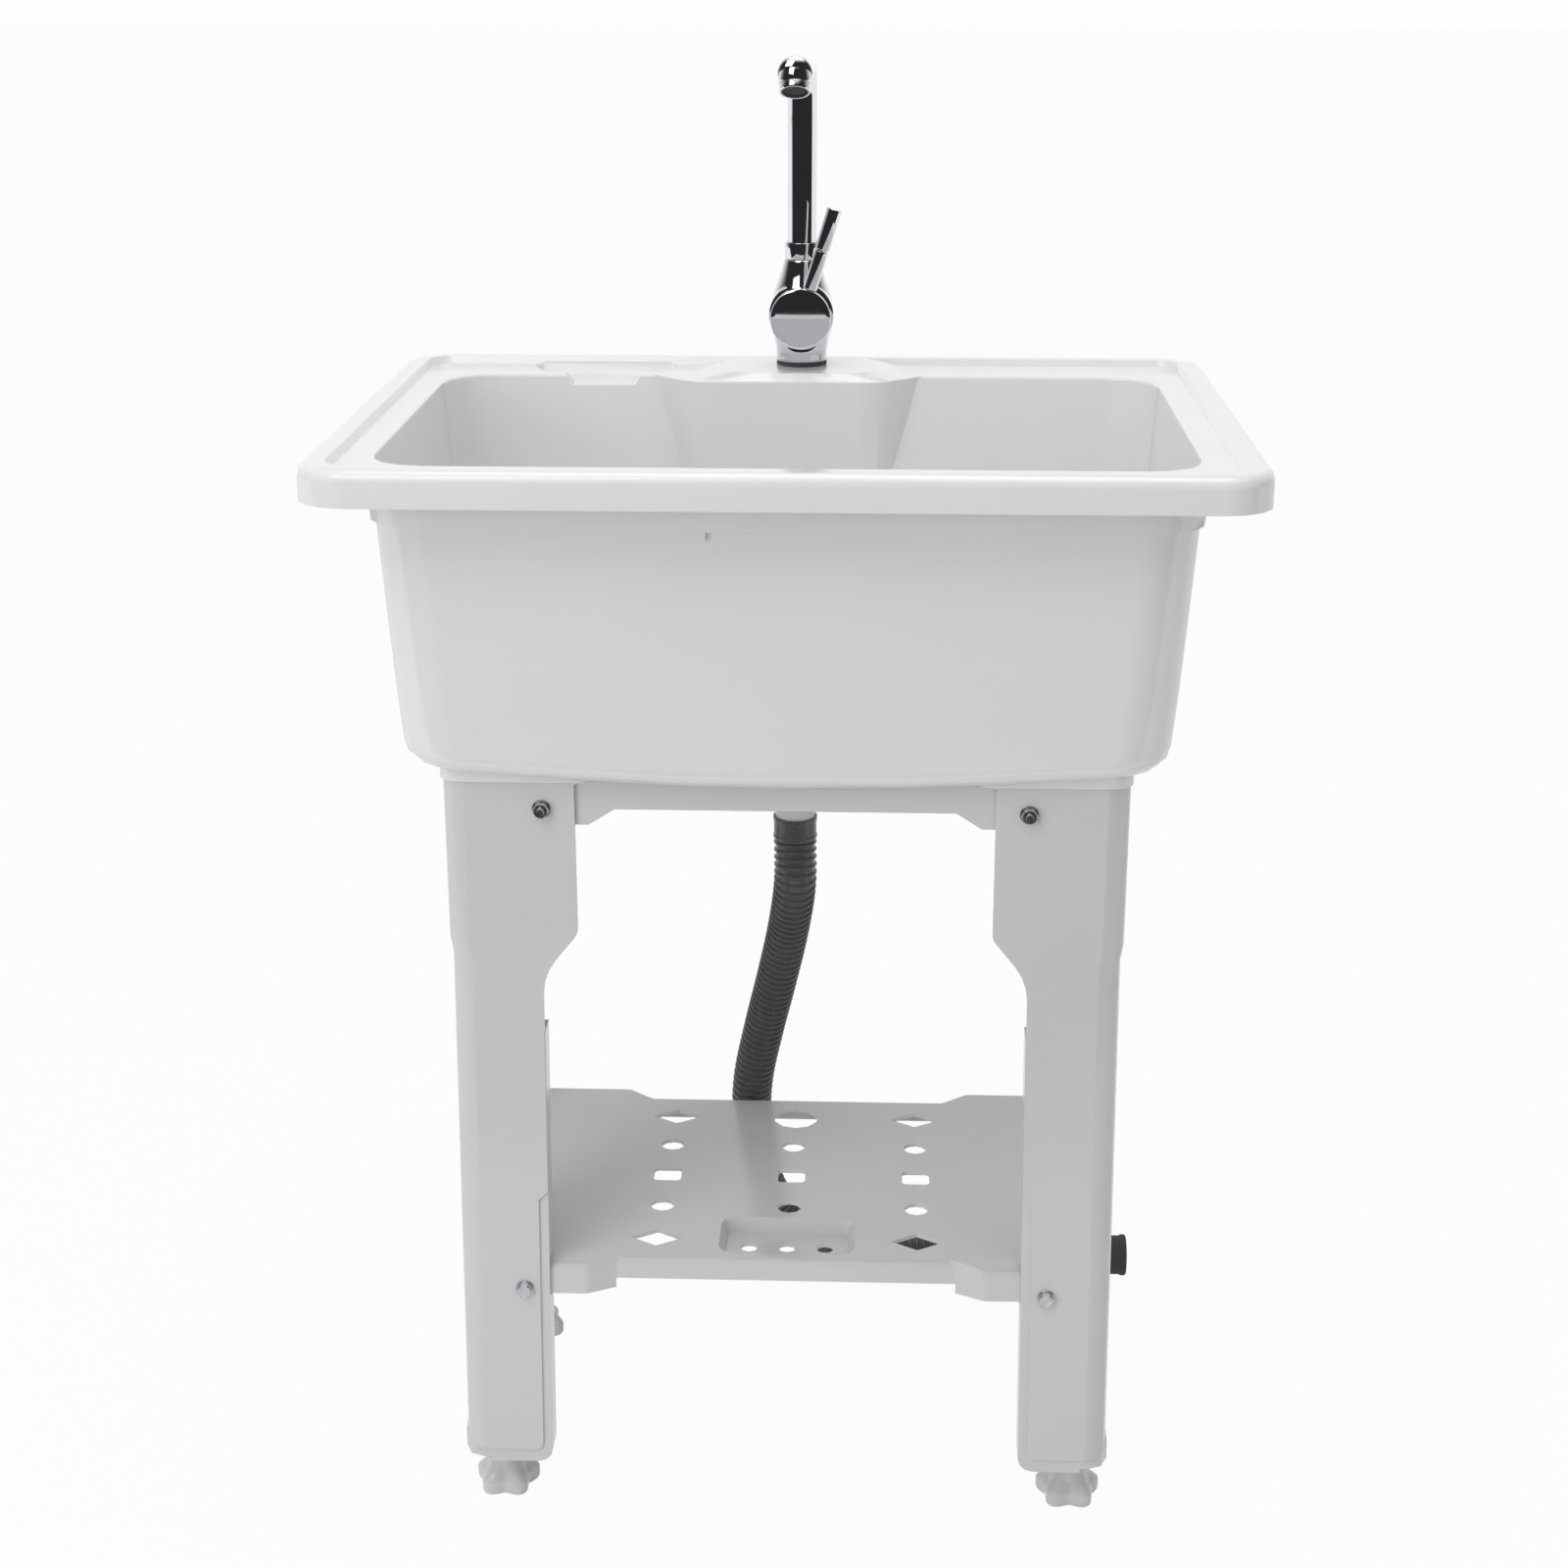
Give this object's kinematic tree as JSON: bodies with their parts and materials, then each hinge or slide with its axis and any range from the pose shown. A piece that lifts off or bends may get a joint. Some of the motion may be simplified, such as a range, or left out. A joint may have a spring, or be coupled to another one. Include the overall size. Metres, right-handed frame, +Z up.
{
  "type": "utility laundry sink",
  "caption": "Freestanding utility sink: deep white moulded tub on channel legs with a perforated shelf, levelling feet, single-lever swivel tap, basket strainer and ribbed waste hose.",
  "frame": {"origin": "on the floor under the middle of the rim's outline", "axes": "+Z up, +Y towards the back where the tap stands, +X to the right seen from the front"},
  "size_m": [0.62, 0.46, 1.0374],
  "materials": {
    "tub_white": "glossy white moulded plastic",
    "frame_white": "satin white moulded plastic with fine surface grain",
    "waste_white": "satin white plastic",
    "chrome": "polished chrome plate",
    "brass": "machined brass",
    "zinc_steel": "zinc-plated steel",
    "stainless": "satin stainless steel",
    "grey_vinyl": "grey flexible vinyl",
    "black_rubber": "black rubber",
    "cartridge_white": "matt white ceramic and plastic"
  },
  "bodies": {
    "frame": {"drain_hose": "grey_vinyl", "tub": "tub_white", "shelf": "frame_white", "tap_body": "chrome", "leg_front_left": "frame_white", "leg_front_right": "frame_white", "leg_back_left": "frame_white", "leg_back_right": "frame_white", "strainer_flange": "stainless", "tailpiece": "waste_white", "hot_inlet": "brass", "cold_inlet": "brass", "drain_locknut": "waste_white", "hose_end_cuff": "black_rubber", "hose_top_cuff": "grey_vinyl", "apron_front": "frame_white", "apron_back": "frame_white", "drain_gasket": "black_rubber", "tap_base_ring": "black_rubber", "spout_collar": "chrome", "cartridge": "cartridge_white", "cartridge_nut": "brass", "tap_shank": "brass", "deck_washer": "black_rubber", "foot_bush_front_left": "brass", "foot_bush_front_right": "brass", "foot_bush_back_left": "brass", "foot_bush_back_right": "brass", "tap_locknut": "brass", "apron_bolt_front_left": "zinc_steel", "apron_bolt_front_right": "zinc_steel", "apron_nut_front_left": "zinc_steel", "apron_nut_front_right": "zinc_steel", "apron_bolt_back_left": "zinc_steel", "apron_bolt_back_right": "zinc_steel", "apron_nut_back_left": "zinc_steel", "apron_nut_back_right": "zinc_steel", "shelf_bolt_front_left": "zinc_steel", "shelf_bolt_front_right": "zinc_steel", "shelf_nut_front_left": "zinc_steel", "shelf_nut_front_right": "zinc_steel", "shelf_bolt_back_left": "zinc_steel", "shelf_bolt_back_right": "zinc_steel", "shelf_nut_back_left": "zinc_steel", "shelf_nut_back_right": "zinc_steel"},
    "spout": {"spout": "chrome", "aerator_housing": "chrome", "aerator_insert": "black_rubber"},
    "lever_rotor": {"cartridge_rotor": "brass"},
    "lever": {"handle_cap": "chrome", "lever_pin": "chrome"},
    "basket": {"strainer_basket": "stainless"},
    "foot_front_left": {"foot_front_left": "frame_white"},
    "foot_front_right": {"foot_front_right": "frame_white"},
    "foot_back_left": {"foot_back_left": "frame_white"},
    "foot_back_right": {"foot_back_right": "frame_white"}
  },
  "joints": [
    {"name": "spout_swivel", "type": "hinge", "parent": "frame", "child": "spout", "pos_m": [0, 0.188, 0.9], "axis": [0, 0, 1], "continuous": true},
    {"name": "lever_turn", "type": "hinge", "parent": "frame", "child": "lever_rotor", "pos_m": [0, 0.175, 0.839], "axis": [0, -1, 0], "range_deg": [-32.6, 67.4]},
    {"name": "lever_lift", "type": "hinge", "parent": "lever_rotor", "child": "lever", "pos_m": [0, 0.175, 0.839], "axis": [0.9542, 0, -0.299], "range_deg": [0, 20]},
    {"name": "basket_lift", "type": "slide", "parent": "frame", "child": "basket", "axis": [0, 0, 1], "range_m": [0, 0.26]},
    {"name": "foot_front_left_level", "type": "slide", "parent": "frame", "child": "foot_front_left", "axis": [0, 0, -1], "range_m": [0, 0.015]},
    {"name": "foot_front_right_level", "type": "slide", "parent": "frame", "child": "foot_front_right", "axis": [0, 0, -1], "range_m": [0, 0.015]},
    {"name": "foot_back_left_level", "type": "slide", "parent": "frame", "child": "foot_back_left", "axis": [0, 0, -1], "range_m": [0, 0.015]},
    {"name": "foot_back_right_level", "type": "slide", "parent": "frame", "child": "foot_back_right", "axis": [0, 0, -1], "range_m": [0, 0.015]}
  ]
}
